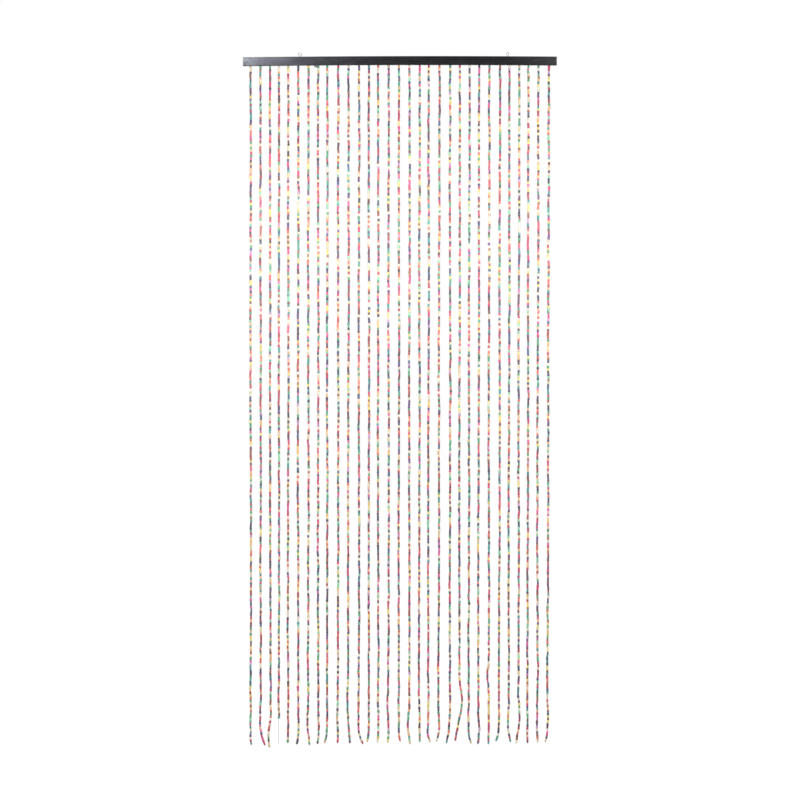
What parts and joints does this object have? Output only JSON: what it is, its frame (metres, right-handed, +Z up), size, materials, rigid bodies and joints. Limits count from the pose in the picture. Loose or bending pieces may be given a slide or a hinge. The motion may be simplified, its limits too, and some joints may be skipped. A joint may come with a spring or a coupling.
{
  "type": "bamboo bead door curtain with its hanging rail",
  "caption": "Door curtain of short dyed bamboo beads strung on clear line, hanging as separate strands from a black-stained wooden rail with screw eyes on top.",
  "frame": {"origin": "middle of the rail's back face, at half the rail's height", "axes": "+X to the right seen from the front, +Y out of the rail's back towards the wall behind, +Z up"},
  "size_m": [0.9, 0.012, 1.9939],
  "materials": {
    "rail_wood": "black stain under satin varnish",
    "bamboo_beads": "dyed in many colours, satin",
    "nylon_line": "clear monofilament",
    "eye_steel": "bright zinc plate"
  },
  "bodies": {
    "root": {"rail": "rail_wood", "bead_strands": "bamboo_beads", "screw_eye_left": "eye_steel", "screw_eye_right": "eye_steel"}
  },
  "joints": []
}
